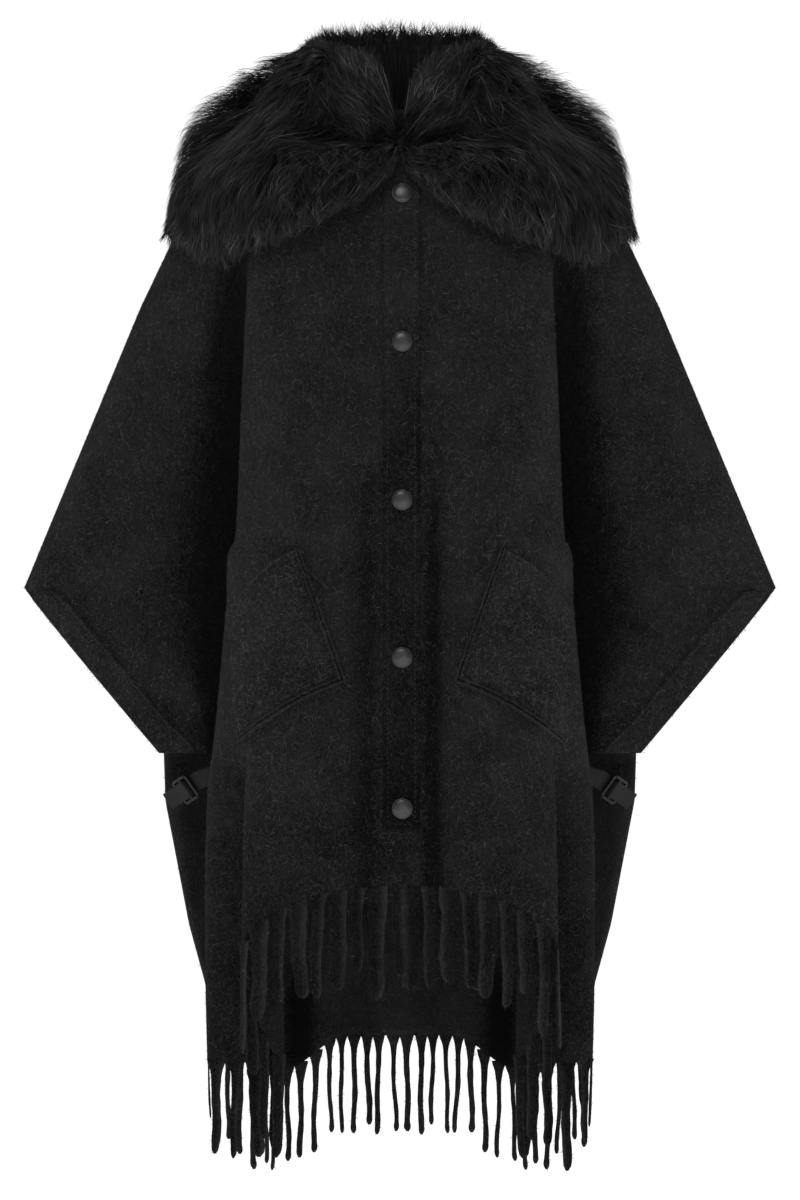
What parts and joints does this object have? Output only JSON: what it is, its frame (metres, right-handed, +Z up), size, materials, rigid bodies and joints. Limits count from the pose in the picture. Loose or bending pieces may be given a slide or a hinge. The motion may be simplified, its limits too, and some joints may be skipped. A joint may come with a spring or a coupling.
{
  "type": "wool cloak",
  "caption": "Brushed wool cloak with open wing sleeves, a wide fur collar, a snapped placket, slanted patch pockets, side straps and fringed hems.",
  "frame": {"origin": "between the wearer's shoulders at the base of the neck, where the shoulders carry the cloak", "axes": "+Z up, the front faces -Y, +X to the viewer's right as seen from the front"},
  "size_m": [0.714, 0.315, 1.117],
  "materials": {
    "wool": "brushed wool with a soft short nap, black",
    "facing": "smoother black wool of the turned cuff band",
    "fringe": "twisted black wool strands",
    "fur": "long black fur with a soft sheen",
    "webbing": "flat woven black webbing",
    "snap_metal": "dark grey satin snap caps",
    "slider_metal": "black satin metal slider"
  },
  "bodies": {
    "root": {"front_r": "wool", "front_l": "wool", "back_panel": "wool", "placket": "wool", "snap_1": "snap_metal", "snap_2": "snap_metal", "snap_3": "snap_metal", "snap_4": "snap_metal", "snap_5": "snap_metal", "pocket_r": "wool", "pocket_l": "wool", "cuff_band_front_r": "facing", "cuff_band_back_r": "facing", "cuff_band_front_l": "facing", "cuff_band_back_l": "facing", "neck_band": "wool", "fur_collar": "fur", "neck_snap": "snap_metal", "strap_r": "webbing", "slider_r": "slider_metal", "strap_base_r": "webbing", "strap_l": "webbing", "slider_l": "slider_metal", "strap_base_l": "webbing", "fringe_front_r": "fringe", "fringe_front_l": "fringe", "fringe_back": "fringe"}
  },
  "joints": []
}
